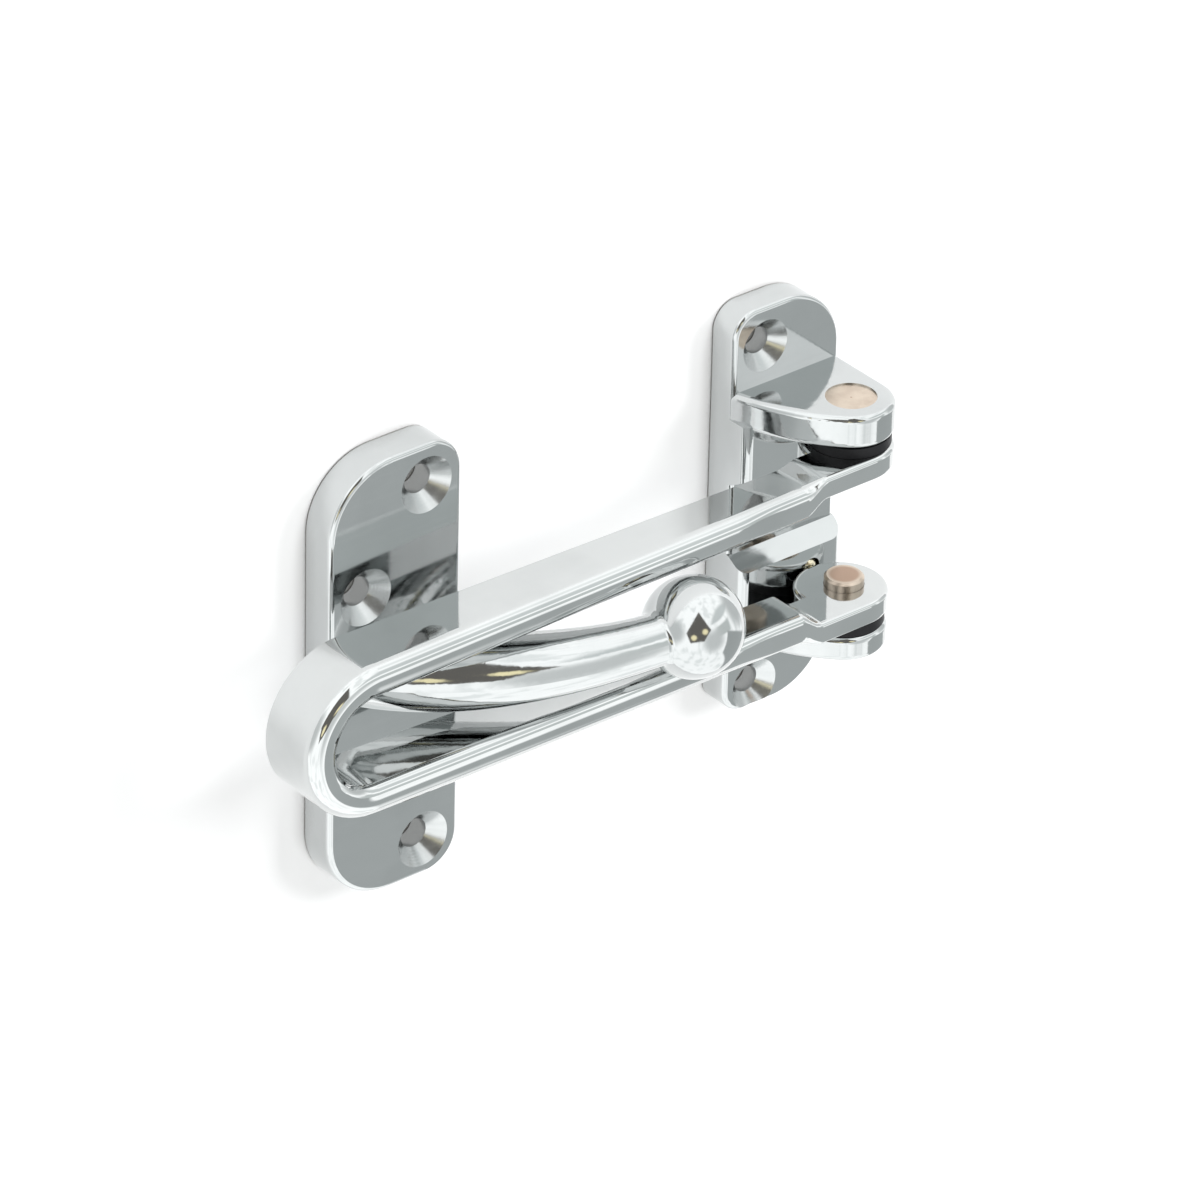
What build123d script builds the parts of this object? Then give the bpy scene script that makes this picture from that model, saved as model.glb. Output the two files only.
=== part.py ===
# Swing-bar door guard: a hinge plate with a swinging loop, and a plate with a ball arm
import os
from math import acos, asin, cos, degrees, radians, sin, tan

from build123d import *

# Frame: X along the door, -Y out from the wall, +Z up, zero behind the hinge plate's middle
os.makedirs("parts", exist_ok=True)

# Hinge plate
hinge_width = 22.8
hinge_height = 77.0
hinge_base = 5.5
hinge_inner_corner = 4.5
hinge_outer_corner = 12.0
hinge_edge_round = 0.9
block_rise = 3.7
block_inner_round = 1.7
block_outer_round = 3.2
groove_floor = 13.6
groove_mouth = 17.8

# Lugs and pins
pin_reach = 17.5
lug_nose = 7.4
lug_nose_angle = 134
lug_upper_thickness = 6.2
lug_lower_thickness = 4.7
lug_edge_round = 1.2
pin_radius = 3.4
pin_head_radius = 4.35
pin_head_height = 1.75
pin_head_recess = 0.25
pin_tail = 1.75
pin_end_chamfer = 0.4

# Washers and running clearances
washer_radius = 7.0
washer_upper_thickness = 1.8
washer_lower_thickness = 2.2
eye_clearance = 0.06
end_play = 0.05

# Detent that steadies the loop
detent_radius = 1.65
detent_drop = 0.8
detent_clearance = 0.1
detent_bore_play = 0.05
detent_bore_depth = 6.7
spring_radius = 1.5
spring_bore = 1.0

# Swinging loop
loop_reach = 118.2
bar_height = 5.8
slot_pinch = 0.5
slot_clearance = 0.5
loop_end_depth = 11.8
loop_hinge_depth = 7.9
bar_outer_round = 2.0
bar_inner_round = 1.6
eye_radius = 8.0
eye_thickness = 4.15
eye_spacing = 23.8
eye_edge_round = 0.85
eye_set = 0.7
crank_start = 11.2
crank_run = 4.4

# Ball plate and its arm
plate_spacing = 82.35
keep_drop = 3.2
keep_width = 26.7
keep_height = 81.8
keep_thickness = 6.3
keep_outer_corner = 12.5
keep_inner_corner = 6.5
keep_edge_round = 0.9
ball_radius = 8.7
ball_gap = 44.65
ball_reach = 28.0
arm_bend_radius = 70.0
arm_root_radius = 6.2
arm_middle_radius = 5.7
arm_neck_radius = 4.5
arm_neck_round = 1.2

# Screw holes
hinge_screw_offset = 4.7
hinge_screw_top = 31.2
hinge_screw_bottom = 34.4
hinge_screw_bore = 2.4
hinge_screw_rim = 4.7
keep_screw_inset = 7.2
keep_screw_top = 7.5
keep_screw_bottom = 6.8
keep_screw_middle = 24.2
keep_screw_middle_inset = 7.3
keep_screw_bore = 2.6
keep_screw_rim = 5.1
screw_sink_angle = 90

# Places that follow from the sizes
pin_x = hinge_width / 2 - lug_nose
eye_inner = eye_spacing / 2
eye_outer = eye_inner + eye_thickness
lug_upper = eye_outer + end_play + washer_upper_thickness
lug_lower = eye_outer + end_play + washer_lower_thickness
block_front = hinge_base + block_rise
loop_front = pin_reach + eye_radius
detent_y = -(pin_reach - eye_radius - detent_clearance - detent_radius)
detent_z = -(eye_inner + detent_drop)
keep_x = -plate_spacing
ball_x = keep_x + ball_gap

# Hinge plate: arched base, two pads either side of a groove, two lugs for the pins
with BuildPart() as hinge_plate:
    with BuildSketch(Plane.XZ) as base_outline:
        Rectangle(hinge_width, hinge_height)
        corners = base_outline.vertices().group_by(Axis.X)
        fillet(corners[0], hinge_inner_corner)
        fillet(base_outline.vertices().group_by(Axis.X)[-1], hinge_outer_corner)
    extrude(amount=hinge_base)
    fillet(faces().sort_by(Axis.Y)[0].edges(), hinge_edge_round)
    # Pads that stiffen the plate between each lug and the middle groove
    for side, lug_face in ((1, lug_upper), (-1, lug_lower)):
        with BuildSketch(Plane.YZ.offset(-hinge_width / 2)):
            with BuildLine():
                Polyline(
                    (-hinge_base / 2, side * groove_floor / 2),
                    (-hinge_base, side * groove_floor / 2),
                    (-block_front, side * groove_mouth / 2),
                    (-block_front, side * (lug_face + lug_edge_round)),
                    (-hinge_base / 2, side * (lug_face + lug_edge_round)),
                    close=True,
                )
            make_face()
        extrude(amount=hinge_width)
    pad_edges = edges().filter_by(Axis.Z).group_by(Axis.Y)[0].group_by(Axis.X)
    fillet(pad_edges[0], block_inner_round)
    pad_edges = edges().filter_by(Axis.Z).group_by(Axis.Y)[0].group_by(Axis.X)
    fillet(pad_edges[-1], block_outer_round)
    # Lugs: straight on the outer side, bowed on the inner side, round at the nose
    nose_angle = radians(lug_nose_angle)
    nose_end = (pin_x + lug_nose * cos(nose_angle), -pin_reach - lug_nose * sin(nose_angle))
    bow_start = (-hinge_width / 2, -hinge_base + hinge_edge_round)
    nose_tangent = (-sin(nose_angle), -cos(nose_angle))
    for low, thickness in (
        (lug_upper, lug_upper_thickness),
        (-lug_lower - lug_lower_thickness, lug_lower_thickness),
    ):
        with BuildPart(mode=Mode.PRIVATE) as lug:
            with BuildSketch(Plane.XY.offset(low)):
                with BuildLine():
                    Line((-hinge_width / 2, -hinge_base / 2), (hinge_width / 2, -hinge_base / 2))
                    Line((hinge_width / 2, -hinge_base / 2), (hinge_width / 2, -pin_reach))
                    ThreePointArc(
                        (hinge_width / 2, -pin_reach), (pin_x, -pin_reach - lug_nose), nose_end
                    )
                    TangentArc(nose_end, bow_start, tangent=nose_tangent)
                    Line(bow_start, (-hinge_width / 2, -hinge_base / 2))
                make_face()
            extrude(amount=thickness)
            # Rounded rims, clear of the root inside the plate
            rim = [e for e in edges().filter_by(Plane.XY) if e.center().Y < -hinge_base]
            fillet(rim, lug_edge_round)
        add(lug.part)
    # Pin holes with a seat for each head, and countersunk screw holes
    head_seat = pin_head_height + pin_head_recess
    with Locations((pin_x, -pin_reach, lug_upper + lug_upper_thickness)):
        CounterBoreHole(pin_radius, pin_head_radius, head_seat, depth=lug_upper_thickness)
    lower_face = Plane((pin_x, -pin_reach, -lug_lower - lug_lower_thickness), z_dir=(0, 0, -1))
    with Locations(lower_face):
        CounterBoreHole(pin_radius, pin_head_radius, head_seat, depth=lug_lower_thickness)
    for height in (hinge_screw_top, -hinge_screw_bottom):
        with Locations(Plane((-hinge_screw_offset, -hinge_base, height), z_dir=(0, -1, 0))):
            CounterSinkHole(hinge_screw_bore, hinge_screw_rim, hinge_base, screw_sink_angle)
    # Blind bore in the lower pad for the detent ball and its spring
    with Locations(Plane((pin_x, -block_front, detent_z), z_dir=(0, -1, 0))):
        Hole(detent_radius + detent_bore_play, depth=detent_bore_depth)
hinge_plate.part.label = "hinge_plate"
export_step(hinge_plate.part, "parts/hinge_plate.step")

# Swinging loop: a tapered U bar, cranked apart at the hinge into two flat eyes
slot_end = ball_radius - slot_pinch
slot_mouth = ball_radius + slot_clearance
end_centre = pin_x - loop_reach + slot_end + bar_height
crank_left = pin_x - crank_start - crank_run
taper = asin((slot_mouth - slot_end) / (crank_left - end_centre))


def bar_depth(x):
    """Depth of the bar from front to back, which falls off evenly towards the hinge."""
    return loop_hinge_depth + (loop_end_depth - loop_hinge_depth) * (pin_x - x) / loop_reach


def bar_section(x, lean, low, height, depth, inner_round, outer_round):
    """One section across the bar: low is its slot side, and the front corners are the rounder ones."""
    station = Plane((x, 0, 0), x_dir=(-sin(lean), 0, cos(lean)), z_dir=(cos(lean), 0, sin(lean)))
    with BuildSketch(station) as section:
        with Locations((low + height / 2, loop_front - depth / 2)):
            Rectangle(height, depth)
        fillet(section.vertices().group_by(Axis.Y)[-1].sort_by(Axis.X)[0], inner_round)
        fillet(section.vertices().group_by(Axis.Y)[-1].sort_by(Axis.X)[-1], outer_round)
    return section.sketch


end_section = bar_section(
    end_centre, taper, slot_end, bar_height, loop_end_depth, bar_inner_round, bar_outer_round
)
crank_sections = []
for share in (0.0, 0.2, 0.4, 0.6, 0.8, 1.0):
    ease = share * share * (3 - 2 * share)
    crank_x = crank_left + crank_run * share
    crank_sections.append(
        bar_section(
            crank_x,
            0,
            slot_mouth + (eye_spacing / 2 - slot_mouth) * ease,
            bar_height + (eye_thickness - bar_height) * ease,
            bar_depth(crank_x),
            bar_inner_round + (eye_edge_round - bar_inner_round) * ease,
            bar_outer_round + (eye_edge_round - bar_outer_round) * ease,
        )
    )
# Upper half: straight bar and crank lofted between sections, then a flat eye with rounded rims
eye_left = pin_x - crank_start
eye_back = loop_front - bar_depth(eye_left)
eye_turn = asin((eye_back - pin_reach) / eye_radius)
eye_x = pin_x - eye_set
eye_join = (eye_x - eye_radius * cos(eye_turn), -eye_back)
with BuildPart() as upper_half:
    with BuildSketch(Plane.XY.offset(eye_inner)):
        with BuildLine():
            Line((eye_left, -loop_front), (eye_x, -loop_front))
            ThreePointArc((eye_x, -loop_front), (eye_x + eye_radius, -pin_reach), eye_join)
            Line(eye_join, (eye_left, -eye_back))
            Line((eye_left, -eye_back), (eye_left, -loop_front))
        make_face()
    extrude(amount=eye_thickness)
    rim = [
        e for e in edges().filter_by(Plane.XY)
        if e.geom_type == GeomType.CIRCLE or e.center().Y < -loop_front + eye_edge_round
    ]
    fillet(rim, eye_edge_round)
    loft([end_section, crank_sections[0]], ruled=True)
    loft(crank_sections)

with BuildPart() as swing_loop:
    revolve(
        end_section,
        axis=Axis((end_centre, 0, 0), (0, -1, 0)),
        revolution_arc=180 - 2 * degrees(taper),
    )
    add(upper_half.part)
    add(mirror(upper_half.part, about=Plane.XY, mode=Mode.PRIVATE))
    with Locations((pin_x, -pin_reach)):
        Cylinder(pin_radius + eye_clearance, 4 * eye_outer, mode=Mode.SUBTRACT)
swing_loop.part.label = "swing_loop"
export_step(swing_loop.part, "parts/swing_loop.step")

# Headed hinge pins, set in just below the lugs with their ends standing proud of the eyes
upper_head = lug_upper + lug_upper_thickness - pin_head_recess
with BuildPart() as upper_pin:
    with Locations((pin_x, -pin_reach, upper_head)):
        Cylinder(pin_head_radius, pin_head_height, align=(Align.CENTER, Align.CENTER, Align.MAX))
        length = upper_head - eye_inner + pin_tail
        Cylinder(pin_radius, length, align=(Align.CENTER, Align.CENTER, Align.MAX))
    chamfer(edges().sort_by(Axis.Z)[0], pin_end_chamfer)
upper_pin.part.label = "upper_pin"
export_step(upper_pin.part, "parts/upper_pin.step")

lower_head = lug_lower + lug_lower_thickness - pin_head_recess
with BuildPart() as lower_pin:
    with Locations((pin_x, -pin_reach, -lower_head)):
        Cylinder(pin_head_radius, pin_head_height, align=(Align.CENTER, Align.CENTER, Align.MIN))
        length = lower_head - eye_inner + pin_tail
        Cylinder(pin_radius, length, align=(Align.CENTER, Align.CENTER, Align.MIN))
    chamfer(edges().sort_by(Axis.Z)[-1], pin_end_chamfer)
lower_pin.part.label = "lower_pin"
export_step(lower_pin.part, "parts/lower_pin.step")

# Black washers between each lug and its eye
with BuildPart() as upper_washer:
    with Locations((pin_x, -pin_reach, lug_upper)):
        Cylinder(washer_radius, washer_upper_thickness, align=(Align.CENTER, Align.CENTER, Align.MAX))
        Cylinder(pin_radius, 3 * washer_upper_thickness, mode=Mode.SUBTRACT)
upper_washer.part.label = "upper_washer"
export_step(upper_washer.part, "parts/upper_washer.step")

with BuildPart() as lower_washer:
    with Locations((pin_x, -pin_reach, -lug_lower)):
        Cylinder(washer_radius, washer_lower_thickness, align=(Align.CENTER, Align.CENTER, Align.MIN))
        Cylinder(pin_radius, 3 * washer_lower_thickness, mode=Mode.SUBTRACT)
lower_washer.part.label = "lower_washer"
export_step(lower_washer.part, "parts/lower_washer.step")

# Detent ball, pressed towards the rim of the lower eye by a spring at the bottom of its bore
with BuildPart() as detent_ball:
    with Locations((pin_x, detent_y, detent_z)):
        Sphere(detent_radius)
detent_ball.part.label = "detent_ball"
export_step(detent_ball.part, "parts/detent_ball.step")

# Spring, closed up inside the pad, so it is a plain sleeve from the bore's end to the ball
spring_foot = -block_front + detent_bore_depth
spring_top = detent_y + (detent_radius ** 2 - spring_bore ** 2) ** 0.5
with BuildPart() as detent_spring:
    with BuildSketch(Plane((pin_x, spring_foot, detent_z), z_dir=(0, -1, 0))):
        Circle(spring_radius)
        Circle(spring_bore, mode=Mode.SUBTRACT)
    extrude(amount=spring_foot - spring_top)
detent_spring.part.label = "detent_spring"
export_step(detent_spring.part, "parts/detent_spring.step")

# Ball plate: plate, curved arm and ball cast in one
arm_sweep = acos(1 - (ball_reach - keep_thickness) / arm_bend_radius)
with BuildPart() as ball_plate:
    with BuildSketch(Plane.XZ) as keep_outline:
        with Locations((keep_x, -keep_drop)):
            Rectangle(keep_width, keep_height)
        fillet(keep_outline.vertices().group_by(Axis.X)[0], keep_outer_corner)
        fillet(keep_outline.vertices().group_by(Axis.X)[-1], keep_inner_corner)
    extrude(amount=keep_thickness)
    fillet(faces().sort_by(Axis.Y)[0].edges(), keep_edge_round)
    # Arm: round sections along one bend, parallel to the door where it meets the ball
    for share, radius in (
        (0.0, arm_neck_radius),
        (0.14, arm_neck_radius),
        (0.5, arm_middle_radius),
        (1.0, arm_root_radius),
    ):
        turn = arm_sweep * share
        station = Plane(
            (
                ball_x - arm_bend_radius * sin(turn),
                -ball_reach + arm_bend_radius * (1 - cos(turn)),
                0,
            ),
            z_dir=(-cos(turn), sin(turn), 0),
        )
        with BuildSketch(station):
            Circle(radius)
    loft()
    with Locations((ball_x - arm_bend_radius * sin(arm_sweep), -keep_thickness, 0)):
        Sphere(arm_root_radius)
    with Locations((ball_x, -ball_reach, 0)):
        Sphere(ball_radius)
    neck = edges().filter_by_position(Axis.X, ball_x - ball_radius, ball_x - ball_radius / 2)
    fillet(neck, arm_neck_round)
    # Countersunk screw holes: two on the inner side, one on the outer side
    inner_x = keep_x + keep_width / 2 - keep_screw_inset
    outer_x = keep_x - keep_width / 2 + keep_screw_middle_inset
    keep_top = keep_height / 2 - keep_drop
    keep_bottom = -keep_height / 2 - keep_drop
    for x, z in (
        (inner_x, keep_top - keep_screw_top),
        (inner_x, keep_bottom + keep_screw_bottom),
        (outer_x, keep_top - keep_screw_middle),
    ):
        with Locations(Plane((x, -keep_thickness, z), z_dir=(0, -1, 0))):
            CounterSinkHole(keep_screw_bore, keep_screw_rim, keep_thickness, screw_sink_angle)
ball_plate.part.label = "ball_plate"
export_step(ball_plate.part, "parts/ball_plate.step")
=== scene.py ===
import math

import bpy
from mathutils import Matrix, Vector


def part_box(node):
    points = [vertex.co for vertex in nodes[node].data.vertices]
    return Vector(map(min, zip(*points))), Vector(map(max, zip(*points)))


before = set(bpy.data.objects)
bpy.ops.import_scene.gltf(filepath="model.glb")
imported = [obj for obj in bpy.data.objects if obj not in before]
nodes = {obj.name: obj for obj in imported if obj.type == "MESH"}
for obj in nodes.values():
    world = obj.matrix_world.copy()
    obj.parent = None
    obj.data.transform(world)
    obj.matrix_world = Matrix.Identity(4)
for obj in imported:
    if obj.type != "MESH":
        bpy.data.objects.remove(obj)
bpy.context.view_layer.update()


# Hinge plate: a zinc casting with two lugs, buffed and then plated with bright chrome.
# The plating follows the casting, so its flat faces keep a faint ripple and fine buffing lines.
# Two countersunk screws through its ends hold it to the door frame.
def add_node(tree, kind, inputs, **options):
    """Outputs of a new node; each input is another node's output or a plain value."""
    node = tree.nodes.new("ShaderNode" + kind)
    for option, setting in options.items():
        setattr(node, option, setting)
    for socket, value in inputs.items():
        if isinstance(value, bpy.types.NodeSocket):
            tree.links.new(value, node.inputs[socket])
        else:
            node.inputs[socket].default_value = value
    return node.outputs


def add_sum(tree, operation, *values):
    """The result of one sum in a node tree."""
    return add_node(tree, "Math", dict(enumerate(values)), operation=operation)["Value"]


def add_mix(tree, share, under, over):
    """One colour laid over another, as far as the share says."""
    layers = {"Factor": share, "A": under, "B": over}
    return add_node(tree, "Mix", layers, data_type="RGBA")["Result"]


def make_plating_group():
    """Slow ripple, buffing lines and haze of a buffed and plated casting."""
    group = bpy.data.node_groups.new("buffed_plating", "ShaderNodeTree")
    face = group.interface
    face.new_socket("Bright Colour", in_out="INPUT", socket_type="NodeSocketColor")
    face.new_socket("Dull Colour", in_out="INPUT", socket_type="NodeSocketColor")
    face.new_socket("Line Direction", in_out="INPUT", socket_type="NodeSocketVector")
    face.new_socket("Least Roughness", in_out="INPUT", socket_type="NodeSocketFloat")
    face.new_socket("Most Roughness", in_out="INPUT", socket_type="NodeSocketFloat")
    face.new_socket("Colour", in_out="OUTPUT", socket_type="NodeSocketColor")
    face.new_socket("Roughness", in_out="OUTPUT", socket_type="NodeSocketFloat")
    face.new_socket("Height", in_out="OUTPUT", socket_type="NodeSocketFloat")
    given = group.nodes.new("NodeGroupInput").outputs
    result = group.nodes.new("NodeGroupOutput").inputs
    place = add_node(group, "TexCoord", {})["Object"]
    # Slow ripple left in the casting under the plating
    ripple = add_node(group, "TexNoise", {"Vector": place, "Scale": 110.0, "Detail": 1.5})["Fac"]
    # Fine lines left by the buffing wheel, drawn out along one direction
    drawn = add_node(group, "VectorMath", {0: place, 1: given["Line Direction"]}, operation="MULTIPLY")
    lines = add_node(group, "TexNoise", {"Vector": drawn["Vector"], "Scale": 1.0, "Detail": 3.0})["Fac"]
    rough_range = {
        "Value": lines,
        "From Min": 0.3,
        "From Max": 0.7,
        "To Min": given["Least Roughness"],
        "To Max": given["Most Roughness"],
    }
    group.links.new(add_node(group, "MapRange", rough_range)["Result"], result["Roughness"])
    line_share = 0.12
    group.links.new(add_sum(group, "MULTIPLY_ADD", lines, line_share, ripple), result["Height"])
    # Haze: soft cloudy patches that are a little duller
    haze = add_node(group, "TexNoise", {"Vector": place, "Scale": 70.0, "Detail": 4.0})["Fac"]
    haze = add_node(group, "MapRange", {"Value": haze, "From Min": 0.42, "From Max": 0.72})["Result"]
    hazed = add_mix(group, haze, given["Bright Colour"], given["Dull Colour"])
    group.links.new(hazed, result["Colour"])
    return group


plating_group = make_plating_group()


def make_chrome(name, bright, dull, line_direction, roughness, ripple):
    """Bright chrome plate on a buffed casting, with its own lines and haze."""
    ripple_depth = 0.0002
    material = bpy.data.materials.new(name)
    material.use_nodes = True
    metal = material.node_tree
    finish = {
        "Bright Colour": (*bright, 1.0),
        "Dull Colour": (*dull, 1.0),
        "Line Direction": line_direction,
        "Least Roughness": roughness[0],
        "Most Roughness": roughness[1],
    }
    plating = add_node(metal, "Group", finish, node_tree=plating_group, name="plating")
    rippled = {"Height": plating["Height"], "Strength": ripple, "Distance": ripple_depth}
    bump = add_node(metal, "Bump", rippled, name="ripple")
    shader = metal.nodes["Principled BSDF"]
    shader.inputs["Metallic"].default_value = 1.0
    metal.links.new(plating["Colour"], shader.inputs["Base Color"])
    metal.links.new(plating["Roughness"], shader.inputs["Roughness"])
    metal.links.new(bump["Normal"], shader.inputs["Normal"])
    return material


def add_radius(tree, place, centre, across):
    """Distance of a place from the axis through a centre; across has 0 along the axis, 1 elsewhere."""
    offset = add_node(tree, "VectorMath", {0: place, 1: centre}, operation="SUBTRACT")["Vector"]
    flat = add_node(tree, "VectorMath", {0: offset, 1: across}, operation="MULTIPLY")["Vector"]
    return add_node(tree, "VectorMath", {0: flat}, operation="LENGTH")["Value"]


def make_sink_group():
    """Inside the rim of one countersunk hole, and the rings its cutter leaves there."""
    ring_wave = 16000.0
    group = bpy.data.node_groups.new("countersink", "ShaderNodeTree")
    face = group.interface
    face.new_socket("Centre", in_out="INPUT", socket_type="NodeSocketVector")
    face.new_socket("Rim Radius", in_out="INPUT", socket_type="NodeSocketFloat")
    face.new_socket("Inside", in_out="OUTPUT", socket_type="NodeSocketFloat")
    face.new_socket("Rings", in_out="OUTPUT", socket_type="NodeSocketFloat")
    given = group.nodes.new("NodeGroupInput").outputs
    result = group.nodes.new("NodeGroupOutput").inputs
    place = add_node(group, "TexCoord", {})["Object"]
    radius = add_radius(group, place, given["Centre"], (1.0, 0.0, 1.0))
    inside = add_sum(group, "LESS_THAN", radius, given["Rim Radius"])
    wave = add_sum(group, "SINE", add_sum(group, "MULTIPLY", radius, ring_wave))
    group.links.new(inside, result["Inside"])
    group.links.new(add_sum(group, "MULTIPLY", wave, inside), result["Rings"])
    return group


sink_group = make_sink_group()


def cut_sinks(material, rim_radius, places):
    """Softer, ringed finish inside the countersunk holes, which are cut before plating."""
    sink_roughness, ring_share = 0.16, 0.02
    metal = material.node_tree
    rough = metal.nodes["plating"].outputs["Roughness"]
    height = metal.nodes["plating"].outputs["Height"]
    for x, z in places:
        rim = {"Centre": (x, 0.0, z), "Rim Radius": rim_radius}
        sink = add_node(metal, "Group", rim, node_tree=sink_group)
        rough = add_sum(metal, "MULTIPLY_ADD", sink["Inside"], sink_roughness, rough)
        height = add_sum(metal, "MULTIPLY_ADD", sink["Rings"], ring_share, height)
    metal.links.new(rough, metal.nodes["Principled BSDF"].inputs["Roughness"])
    metal.links.new(height, metal.nodes["ripple"].inputs["Height"])


hinge_screw_rim = 0.0047
hinge_screws = ((-0.0047, 0.0312), (-0.0047, -0.0344))
hinge_chrome = make_chrome(
    "hinge_chrome", (0.55, 0.565, 0.565), (0.51, 0.525, 0.525), (60.0, 900.0, 1400.0), (0.05, 0.11), 0.2
)
cut_sinks(hinge_chrome, hinge_screw_rim, hinge_screws)
# Lugs and edges lean a few degrees, the draft that lets the casting out of its mould
draft_slope = 0.07
hinge_metal = hinge_chrome.node_tree
hinge_place = add_node(hinge_metal, "TexCoord", {})["Object"]
hinge_point = add_node(hinge_metal, "SeparateXYZ", {"Vector": hinge_place})
draft_lean = {"Height": hinge_point["Y"], "Strength": 1.0, "Distance": draft_slope}
draft = add_node(hinge_metal, "Bump", draft_lean)["Normal"]
hinge_metal.links.new(draft, hinge_metal.nodes["ripple"].inputs["Normal"])
nodes["hinge_plate"].material_slots[0].material = hinge_chrome


# Swinging loop: one cast bar bent into a long U, cranked apart at the hinge end into two flat eyes.
# It is the most handled piece, so it is buffed brightest, along its length.
# Buffing has rounded its front further than the casting, into a low crown that ends at the crank.
def add_blend(tree, value, start, full):
    """A smooth rise from 0 at start to 1 at full, or a fall where start is the larger."""
    span = {"Value": value, "From Min": start, "From Max": full}
    return add_node(tree, "MapRange", span, interpolation_type="SMOOTHSTEP")["Result"]


loop_chrome = make_chrome(
    "loop_chrome", (0.58, 0.594, 0.592), (0.535, 0.549, 0.547), (40.0, 700.0, 1100.0), (0.03, 0.07), 0.1
)
bar_height, bar_run, end_radius, slot_widening = 0.0058, 0.0886, 0.0111, 0.001
crown_height, crown_fades, crown_ends = 0.00055, 0.074, 0.084
crown_depth, crown_blend = 0.003, 0.001
loop_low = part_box("swing_loop")[0]
end_centre = loop_low[0] + end_radius + bar_height / 2
taper = math.asin(slot_widening / bar_run)
loop_metal = loop_chrome.node_tree
loop_place = add_node(loop_metal, "TexCoord", {})["Object"]
loop_point = add_node(loop_metal, "SeparateXYZ", {"Vector": loop_place})
# How far a point lies along one side of the U, and off the middle line of its bar
from_end = add_sum(loop_metal, "SUBTRACT", loop_point["X"], end_centre)
from_middle = add_sum(loop_metal, "ABSOLUTE", loop_point["Z"])
lean_along = add_sum(loop_metal, "MULTIPLY", from_middle, math.sin(taper))
along_bar = add_sum(loop_metal, "MULTIPLY_ADD", from_end, math.cos(taper), lean_along)
lean_across = add_sum(loop_metal, "MULTIPLY", from_end, -math.sin(taper))
across_bar = add_sum(loop_metal, "MULTIPLY_ADD", from_middle, math.cos(taper), lean_across)
round_end = add_sum(loop_metal, "MINIMUM", along_bar, 0.0)
round_square = add_sum(loop_metal, "MULTIPLY", round_end, round_end)
slot_square = add_sum(loop_metal, "MULTIPLY_ADD", across_bar, across_bar, round_square)
off_middle = add_sum(loop_metal, "SUBTRACT", add_sum(loop_metal, "SQRT", slot_square), end_radius)
# The crown is highest along that line, fades out before the crank and keeps to the front
crown_turn = add_sum(loop_metal, "MULTIPLY", off_middle, 2 * math.pi / bar_height)
crown = add_sum(loop_metal, "ADD", add_sum(loop_metal, "COSINE", crown_turn), 1.0)
crown_fade = add_blend(loop_metal, along_bar, crown_ends, crown_fades)
crown_back = loop_low[1] + crown_depth
front_range = {"Value": loop_point["Y"], "From Min": crown_back + crown_blend, "From Max": crown_back}
crown_front = add_node(loop_metal, "MapRange", front_range)["Result"]
crown_share = add_sum(loop_metal, "MULTIPLY", crown_fade, crown_front)
crown = add_sum(loop_metal, "MULTIPLY", crown, crown_share)
crown_rise = {"Height": crown, "Strength": 1.0, "Distance": crown_height / 2}
crown_bump = add_node(loop_metal, "Bump", crown_rise)["Normal"]
loop_metal.links.new(crown_bump, loop_metal.nodes["ripple"].inputs["Normal"])
nodes["swing_loop"].material_slots[0].material = loop_chrome

# Ball plate: plate, curved arm and ball in one casting, plated like the hinge plate.
# Three countersunk screws hold it to the door.
keeper_screw_rim = 0.0051
keeper_screws = ((-0.0762, 0.0302), (-0.0762, -0.0373), (-0.0884, 0.0135))
keeper_chrome = make_chrome(
    "keeper_chrome", (0.55, 0.565, 0.565), (0.51, 0.525, 0.525), (60.0, 900.0, 1400.0), (0.05, 0.11), 0.2
)
cut_sinks(keeper_chrome, keeper_screw_rim, keeper_screws)
nodes["ball_plate"].material_slots[0].material = keeper_chrome


# Hinge pins: turned copper alloy, pressed into the lugs and left unplated.
# Their ends show the rings of the lathe tool.
# The lower one is dished, and its dish is coloured darker.
def add_ramp(tree, share, low, low_colour, high, high_colour):
    """A colour that runs from one to another as the share goes from low to high."""
    ramp = tree.nodes.new("ShaderNodeValToRGB")
    for stop, position, colour in zip(ramp.color_ramp.elements, (low, high), (low_colour, high_colour)):
        stop.position = position
        stop.color = (*colour, 1.0)
    tree.links.new(share, ramp.inputs["Fac"])
    return ramp.outputs["Color"]


def make_pin_metal(name, axis_x, axis_y, dish_radius):
    """Turned copper alloy with rings about the pin's axis, an uneven tarnish and a darker dish."""
    ring_wave, ring_depth, dish_floor = 22000.0, 0.00002, 0.75 * dish_radius
    dish_colour = (0.40, 0.28, 0.21, 1.0)
    material = bpy.data.materials.new(name)
    material.use_nodes = True
    metal = material.node_tree
    place = add_node(metal, "TexCoord", {})["Object"]
    radius = add_radius(metal, place, (axis_x, axis_y, 0.0), (1.0, 1.0, 0.0))
    tarnish = add_node(metal, "TexNoise", {"Vector": place, "Scale": 420.0, "Detail": 5.0})["Fac"]
    copper = add_ramp(metal, tarnish, 0.3, (0.52, 0.43, 0.35), 0.75, (0.66, 0.57, 0.475))
    rough = add_node(metal, "MapRange", {"Value": tarnish, "To Min": 0.24, "To Max": 0.42})["Result"]
    dished = add_mix(metal, add_blend(metal, radius, dish_radius, dish_floor), copper, dish_colour)
    rings = add_sum(metal, "SINE", add_sum(metal, "MULTIPLY", radius, ring_wave))
    bump = add_node(metal, "Bump", {"Height": rings, "Strength": 0.15, "Distance": ring_depth})
    shader = metal.nodes["Principled BSDF"]
    shader.inputs["Metallic"].default_value = 1.0
    metal.links.new(dished, shader.inputs["Base Color"])
    metal.links.new(rough, shader.inputs["Roughness"])
    metal.links.new(bump["Normal"], shader.inputs["Normal"])
    return material


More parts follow.
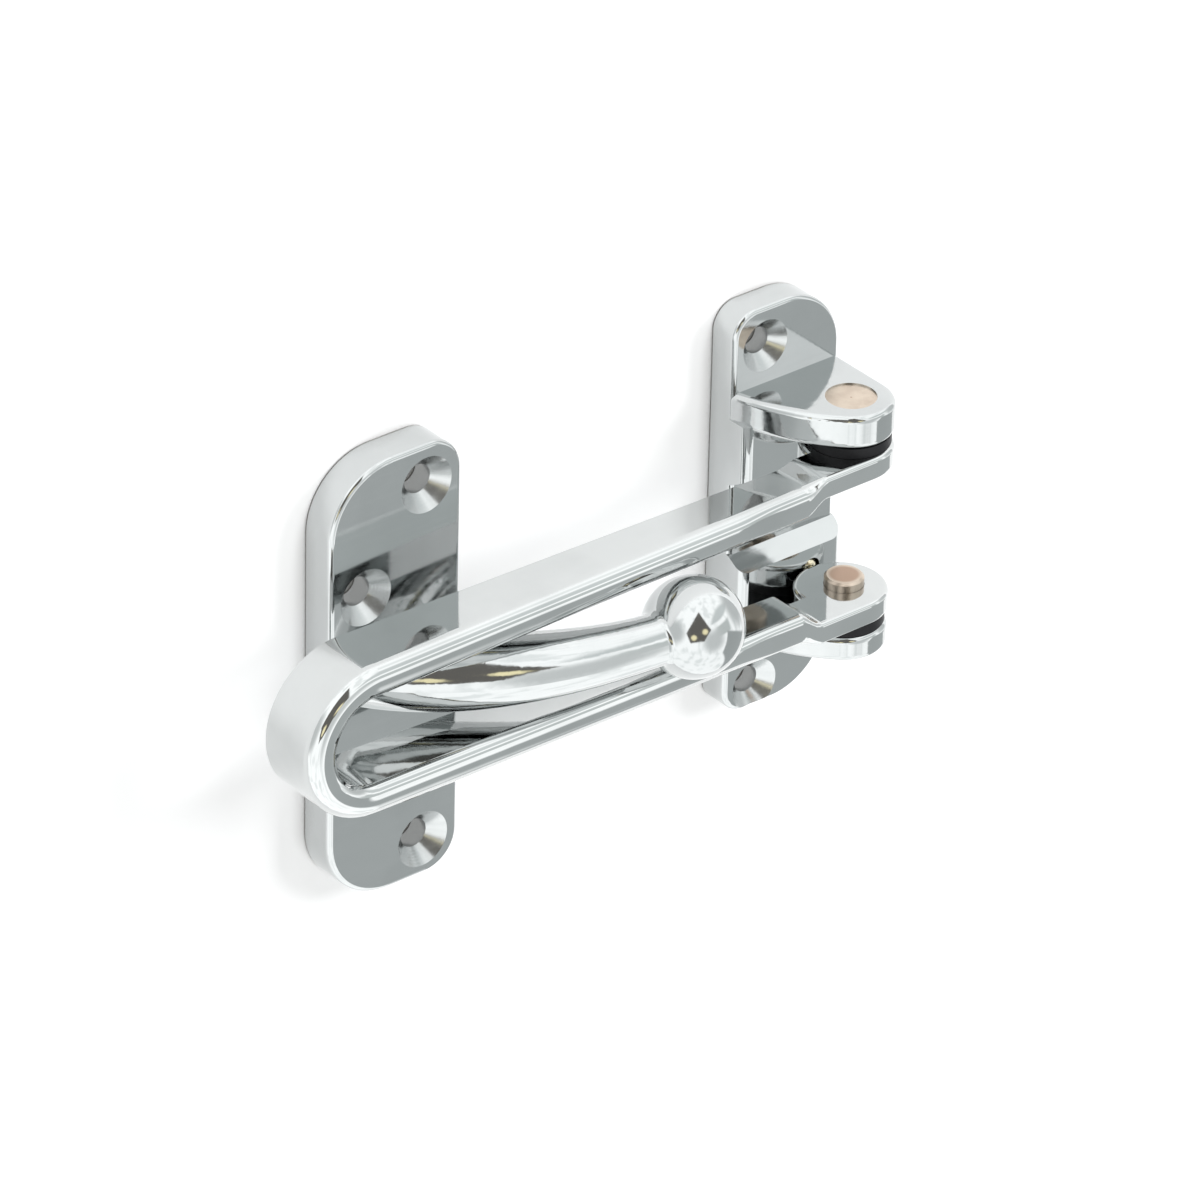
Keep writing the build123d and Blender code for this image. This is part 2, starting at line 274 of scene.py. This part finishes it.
pin_low, pin_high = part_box("upper_pin")
pin_x = (pin_low[0] + pin_high[0]) / 2
pin_y = (pin_low[1] + pin_high[1]) / 2
upper_dish, lower_dish = 0.0002, 0.0029
upper_pin_metal = make_pin_metal("upper_pin_metal", pin_x, pin_y, upper_dish)
lower_pin_metal = make_pin_metal("lower_pin_metal", pin_x, pin_y, lower_dish)
nodes["upper_pin"].material_slots[0].material = upper_pin_metal
nodes["lower_pin"].material_slots[0].material = lower_pin_metal

# Washers: black moulded plastic rings between each lug and its eye, which take up the end play.
# They sit loose on the pins, and their faces keep the fine matt grain of the mould.
grain_depth = 0.00005
washer_black = bpy.data.materials.new("washer_black")
washer_black.use_nodes = True
plastic = washer_black.node_tree
washer_place = add_node(plastic, "TexCoord", {})["Object"]
grain = add_node(plastic, "TexNoise", {"Vector": washer_place, "Scale": 1800.0, "Detail": 3.0})["Fac"]
washer_colour = add_ramp(plastic, grain, 0.0, (0.004, 0.004, 0.005), 1.0, (0.014, 0.014, 0.016))
washer_rough = add_node(plastic, "MapRange", {"Value": grain, "To Min": 0.35, "To Max": 0.6})
washer_bump = add_node(plastic, "Bump", {"Height": grain, "Strength": 0.3, "Distance": grain_depth})
washer_shader = plastic.nodes["Principled BSDF"]
washer_shader.inputs["Specular IOR Level"].default_value = 0.22
plastic.links.new(washer_colour, washer_shader.inputs["Base Color"])
plastic.links.new(washer_rough["Result"], washer_shader.inputs["Roughness"])
plastic.links.new(washer_bump["Normal"], washer_shader.inputs["Normal"])
nodes["upper_washer"].material_slots[0].material = washer_black
nodes["lower_washer"].material_slots[0].material = washer_black

# Detent: a brass ball in a bore of the lower pad, pushed towards the eye by a small spring.
# The ball is polished bright; the spring is bare steel wire, shut in behind it.
detent_brass = bpy.data.materials.new("detent_brass")
detent_brass.use_nodes = True
brass = detent_brass.node_tree
brass_place = add_node(brass, "TexCoord", {})["Object"]
wear = add_node(brass, "TexNoise", {"Vector": brass_place, "Scale": 900.0, "Detail": 4.0})["Fac"]
brass_colour = add_ramp(brass, wear, 0.3, (0.56, 0.49, 0.33), 0.7, (0.90, 0.84, 0.66))
brass_rough = add_node(brass, "MapRange", {"Value": wear, "To Min": 0.12, "To Max": 0.3})
brass_shader = brass.nodes["Principled BSDF"]
brass_shader.inputs["Metallic"].default_value = 1.0
brass.links.new(brass_colour, brass_shader.inputs["Base Color"])
brass.links.new(brass_rough["Result"], brass_shader.inputs["Roughness"])
nodes["detent_ball"].material_slots[0].material = detent_brass
spring_steel = make_chrome(
    "spring_steel", (0.50, 0.50, 0.51), (0.38, 0.37, 0.37), (300.0, 4000.0, 300.0), (0.2, 0.4), 0.3
)
nodes["detent_spring"].material_slots[0].material = spring_steel

# Backdrop: the plain white surface the two plates lie against, one flat upright sheet.
# It can't be seen from behind, so the backs of the plates show in other views.
sheet_behind, sheet_half = 0.0004, 2.0
sheet_mesh = bpy.data.meshes.new("backdrop")
sheet_mesh.from_pydata(
    [
        (-sheet_half, sheet_behind, -sheet_half),
        (sheet_half, sheet_behind, -sheet_half),
        (sheet_half, sheet_behind, sheet_half),
        (-sheet_half, sheet_behind, sheet_half),
    ],
    [],
    [(0, 1, 2, 3)],
)
backdrop = bpy.data.objects.new("backdrop", sheet_mesh)
bpy.context.scene.collection.objects.link(backdrop)
backdrop_white = bpy.data.materials.new("backdrop_white")
backdrop_white.use_nodes = True
sheet = backdrop_white.node_tree
sheet.nodes.remove(sheet.nodes["Principled BSDF"])
# Painted shade: where the paper is shut in under a screw hole, it is coloured dark grey and loses its
# camera glow
hole_reach = 0.006
painted_hole_shade, paper_white = (0.20, 0.185, 0.165, 1.0), (0.90, 0.90, 0.905, 1.0)
openness = add_node(sheet, "AmbientOcclusion", {"Distance": hole_reach}, samples=4)["AO"]
open_sheet = add_blend(sheet, openness, 0.2, 0.45)
paper_with_hole_shade = add_mix(sheet, open_sheet, painted_hole_shade, paper_white)
paper = add_node(sheet, "BsdfDiffuse", {"Color": paper_with_hole_shade})["BSDF"]
# The open sheet glows a little for the camera, and the whole sheet in what mirrors it
camera_glow, mirror_glow = 0.32, 0.42
rays = add_node(sheet, "LightPath", {})
mirrored = add_sum(sheet, "ADD", rays["Is Glossy Ray"], rays["Is Transmission Ray"])
mirrored = add_sum(sheet, "MULTIPLY", mirrored, mirror_glow)
open_glow = add_sum(sheet, "MULTIPLY", open_sheet, camera_glow)
glow_level = add_sum(sheet, "MULTIPLY_ADD", rays["Is Camera Ray"], open_glow, mirrored)
glow = add_node(sheet, "Emission", {"Color": (1.0, 1.0, 1.0, 1.0), "Strength": glow_level})["Emission"]
lit_paper = add_node(sheet, "AddShader", {0: paper, 1: glow})["Shader"]
clear = add_node(sheet, "BsdfTransparent", {})["BSDF"]
behind = add_node(sheet, "NewGeometry", {})["Backfacing"]
front_only = add_node(sheet, "MixShader", {"Fac": behind, 1: lit_paper, 2: clear})["Shader"]
sheet.links.new(front_only, sheet.nodes["Material Output"].inputs["Surface"])
backdrop.data.materials.append(backdrop_white)

# Camera: a long lens from the upper left, as in the photograph.
# Its three directions also place the gap that the light tent leaves for it.
camera_place = Vector((-0.85024, -0.98336, 0.76062))
camera_look = Vector((0.5469, 0.6591, -0.5163)).normalized()
camera_up = Vector((0.3117, 0.4120, 0.8562))
camera_right = camera_look.cross(camera_up).normalized()
camera_up = camera_right.cross(camera_look).normalized()
camera_data = bpy.data.cameras.new("camera")
camera_data.sensor_width = 36.0
camera_data.lens = 270.0
camera_data.clip_end = 20.0
camera = bpy.data.objects.new("camera", camera_data)
camera.matrix_world = Matrix(
    (
        (camera_right.x, camera_up.x, -camera_look.x, camera_place.x),
        (camera_right.y, camera_up.y, -camera_look.y, camera_place.y),
        (camera_right.z, camera_up.z, -camera_look.z, camera_place.z),
        (0.0, 0.0, 0.0, 1.0),
    )
)
bpy.context.scene.collection.objects.link(camera)
bpy.context.scene.camera = camera

# Light tent: white cloth all round, with grey folds, grey screens and a grey card low on the right.
# A dark gap is left where the camera looks in, and plated faces mirror it.
world = bpy.data.worlds.new("light_tent")
world.use_nodes = True
bpy.context.scene.world = world
tent = world.node_tree
tent_place = add_node(tent, "TexCoord", {})["Generated"]


def tent_near(direction, start, full):
    """Mask of the tent round a direction; start and full run from -1, opposite it, to 1, on it."""
    along = add_node(tent, "VectorMath", {0: tent_place, 1: direction}, operation="DOT_PRODUCT")
    return add_blend(tent, along["Value"], start, full)


def tent_both(first, second):
    """The part of the tent that two masks share."""
    return add_sum(tent, "MULTIPLY", first, second)


# White cloth with soft upright folds, and two grey folds on the right
cloth_white, cloth_shade = (1.72, 1.74, 1.74, 1.0), (1.36, 1.40, 1.40, 1.0)
cloth_drop = (1.0, 1.0, 0.18)
cloth_hang = add_node(tent, "VectorMath", {0: tent_place, 1: cloth_drop}, operation="MULTIPLY")["Vector"]
cloth_folds = add_node(tent, "TexNoise", {"Vector": cloth_hang, "Scale": 5.5, "Detail": 1.5})["Fac"]
tent_colour = add_mix(tent, add_blend(tent, cloth_folds, 0.48, 0.68), cloth_white, cloth_shade)
upward, rightward, right_front = (0.0, 0.0, 1.0), (1.0, 0.0, 0.0), (0.66, -0.75, 0.0)
upper_grey, lower_grey = (0.97, 1.02, 1.02, 1.0), (0.86, 0.91, 0.90, 1.0)
upper_fold = tent_both(tent_near(upward, 0.42, 0.49), tent_near(right_front, 0.66, 0.76))
tent_colour = add_mix(tent, upper_fold, tent_colour, upper_grey)
lower_fold = tent_both(tent_near(upward, -0.06, 0.0), tent_near(upward, 0.35, 0.28))
lower_fold = tent_both(lower_fold, tent_near(right_front, 0.78, 0.93))
lower_fold = tent_both(lower_fold, tent_near(rightward, 0.80, 0.72))
tent_colour = add_mix(tent, lower_fold, tent_colour, lower_grey)
# Grey screens straight in front and to either side, and the dimmer room behind the sheet
for screen_way, screen_start, screen_full, screen_grey in (
    ((0.10, -0.985, -0.13), 0.86, 0.99, (0.94, 0.97, 0.97, 1.0)),
    ((0.975, -0.10, 0.20), 0.84, 0.98, (0.84, 0.87, 0.87, 1.0)),
    ((-0.975, -0.10, 0.20), 0.84, 0.98, (0.88, 0.91, 0.91, 1.0)),
    ((0.0, 1.0, 0.0), 0.10, 0.70, (0.70, 0.72, 0.72, 1.0)),
):
    screen = tent_near(screen_way, screen_start, screen_full)
    tent_colour = add_mix(tent, screen, tent_colour, screen_grey)
# Grey card low on the right, cut along three straight edges: the way each faces, and its reach
card_middle, card_blur, card_grey = (0.547, -0.659, -0.516), 0.03, (0.585, 0.62, 0.62, 1.0)
card = tent_near(card_middle, 0.55, 0.70)
for edge_way, edge_reach in (
    ((0.36, 0.33, 0.87), -0.02),
    ((-0.55, -0.25, -0.80), 0.42),
    ((-0.86, -0.44, 0.25), -0.20),
):
    card = tent_both(card, tent_near(edge_way, edge_reach + card_blur, edge_reach - card_blur))
tent_colour = add_mix(tent, card, tent_colour, card_grey)
# Dark gap where the camera looks in, cut along five: how far each faces right and up, and its reach
gap_blur, gap_dark = 0.02, (0.205, 0.195, 0.18, 1.0)
gap = tent_near(-camera_look, 0.0, 0.1)
for edge_side, edge_rise, edge_reach in (
    (0.818, 0.575, 0.454),
    (0.857, -0.514, 0.610),
    (0.161, -0.987, 0.578),
    (-0.909, -0.416, 0.331),
    (-0.868, 0.496, 0.093),
):
    edge_way = edge_side * camera_right + edge_rise * camera_up
    gap = tent_both(gap, tent_near(edge_way, edge_reach + gap_blur, edge_reach - gap_blur))
tent_colour = add_mix(tent, gap, tent_colour, gap_dark)
# Two small warm room lamps in the gap
lamp_warm = (1.5, 1.35, 0.85, 1.0)
for lamp_side, lamp_rise in ((0.03, -0.42), (0.44, -0.20)):
    lamp_front = math.sqrt(1.0 - lamp_side**2 - lamp_rise**2)
    lamp_way = -lamp_front * camera_look + lamp_side * camera_right + lamp_rise * camera_up
    tent_colour = add_mix(tent, tent_near(lamp_way, 0.991, 0.998), tent_colour, lamp_warm)
# The camera sees plain white, and the cloth lights what isn't a mirror at half its level
plain_white, matt_loss = (1.0, 1.0, 1.0, 1.0), 0.5
tent_rays = add_node(tent, "LightPath", {})
tent_colour = add_mix(tent, tent_rays["Is Camera Ray"], tent_colour, plain_white)
dimmed = add_sum(tent, "MULTIPLY", tent_rays["Is Diffuse Ray"], matt_loss)
tent_level = add_sum(tent, "SUBTRACT", 1.0, dimmed)
tent.links.new(tent_colour, tent.nodes["Background"].inputs["Color"])
tent.links.new(tent_level, tent.nodes["Background"].inputs["Strength"])

# Soft boxes: a strong one on the right and a wider, weaker one over the top.
# Only the white cloth in front of them shows in the plated faces.
box_aim = Vector((-0.04, -0.01, 0.0))
for name, place, size, power in (
    ("side_box", (1.2, -1.1, 0.5), 0.7, 14.0),
    ("top_box", (0.1, -0.9, 1.4), 0.9, 7.0),
):
    box_data = bpy.data.lights.new(name, "AREA")
    box_data.size = size
    box_data.energy = power
    box = bpy.data.objects.new(name, box_data)
    box.location = place
    box.rotation_euler = (box_aim - Vector(place)).to_track_quat("-Z", "Y").to_euler()
    box.visible_glossy = False
    bpy.context.scene.collection.objects.link(box)

bpy.context.scene.view_settings.view_transform = "Standard"
